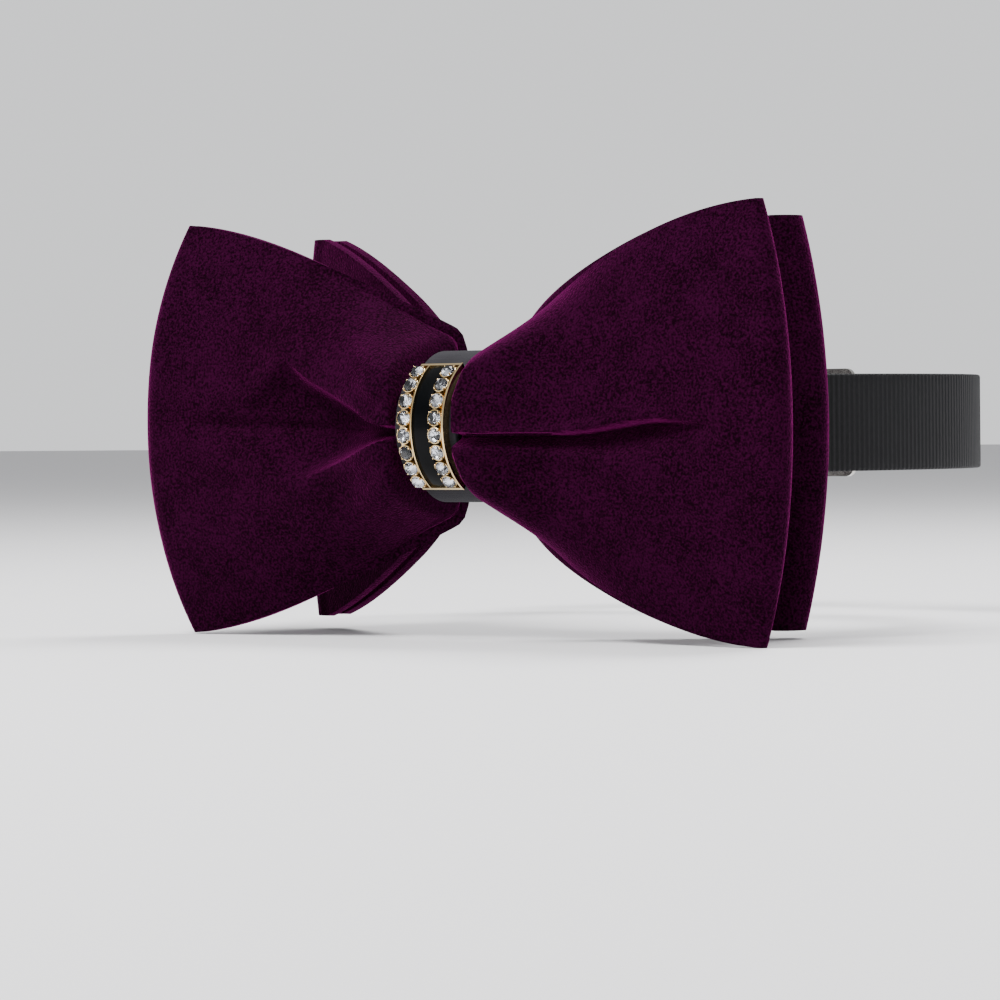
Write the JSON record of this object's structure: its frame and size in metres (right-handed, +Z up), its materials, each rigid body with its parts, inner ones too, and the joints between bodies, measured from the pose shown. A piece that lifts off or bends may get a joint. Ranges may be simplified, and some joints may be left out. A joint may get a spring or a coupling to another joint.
{
  "type": "bow tie",
  "caption": "Pre-tied two-tier velvet bow tie with an arched rhinestone ornament and an adjustable neck band that closes with a hook and eye.",
  "frame": {"origin": "middle of the knot's flat back face, which rests on the shirt collar", "axes": "front of the bow faces -Y, +Z up, +X to the right of someone facing the wearer"},
  "size_m": [0.1186, 0.1158, 0.065],
  "materials": {
    "velvet": "deep plum pile velvet",
    "interlining": "dark stiff woven interlining",
    "thread": "black sewing thread",
    "band_cloth": "matte charcoal fine cloth",
    "gold": "polished pale gold plating",
    "enamel": "glossy black enamel",
    "crystal": "clear faceted stone",
    "ribbon": "black ribbed ribbon",
    "nickel": "nickel-plated sheet and wire"
  },
  "bodies": {
    "tie": {"crystal_left_1": "crystal", "crystal_left_2": "crystal", "crystal_left_3": "crystal", "crystal_left_4": "crystal", "crystal_left_5": "crystal", "crystal_left_6": "crystal", "crystal_left_7": "crystal", "crystal_left_8": "crystal", "crystal_right_1": "crystal", "crystal_right_2": "crystal", "crystal_right_3": "crystal", "crystal_right_4": "crystal", "crystal_right_5": "crystal", "crystal_right_6": "crystal", "crystal_right_7": "crystal", "crystal_right_8": "crystal", "front_bow_interlining": "interlining", "front_bow_velvet": "velvet", "hem_stitches": "thread", "hook_tab": "ribbon", "knot_band": "band_cloth", "knot_stitches": "thread", "neck_strap_adjusting": "ribbon", "neck_strap_fixed": "ribbon", "ornament_enamel": "enamel", "ornament_prong_1": "gold", "ornament_prong_2": "gold", "ornament_prong_3": "gold", "ornament_prong_4": "gold", "ornament_setting": "gold", "rear_bow_interlining": "interlining", "rear_bow_velvet": "velvet", "strap_eye": "nickel", "tab_stitches": "thread", "waist_binding": "thread"},
    "slide": {"strap_slide": "nickel"},
    "hook": {"strap_hook": "nickel"}
  },
  "joints": [
    {"name": "slide_travel", "type": "hinge", "parent": "tie", "child": "slide", "pos_m": [-0.012, 0.0476, 0], "axis": [0, 0, 1], "range_deg": [-53, 9]},
    {"name": "hook_release", "type": "slide", "parent": "tie", "child": "hook", "axis": [-1, 0, 0], "range_m": [0, 0.004], "deforming": ["hook_tab"]}
  ]
}
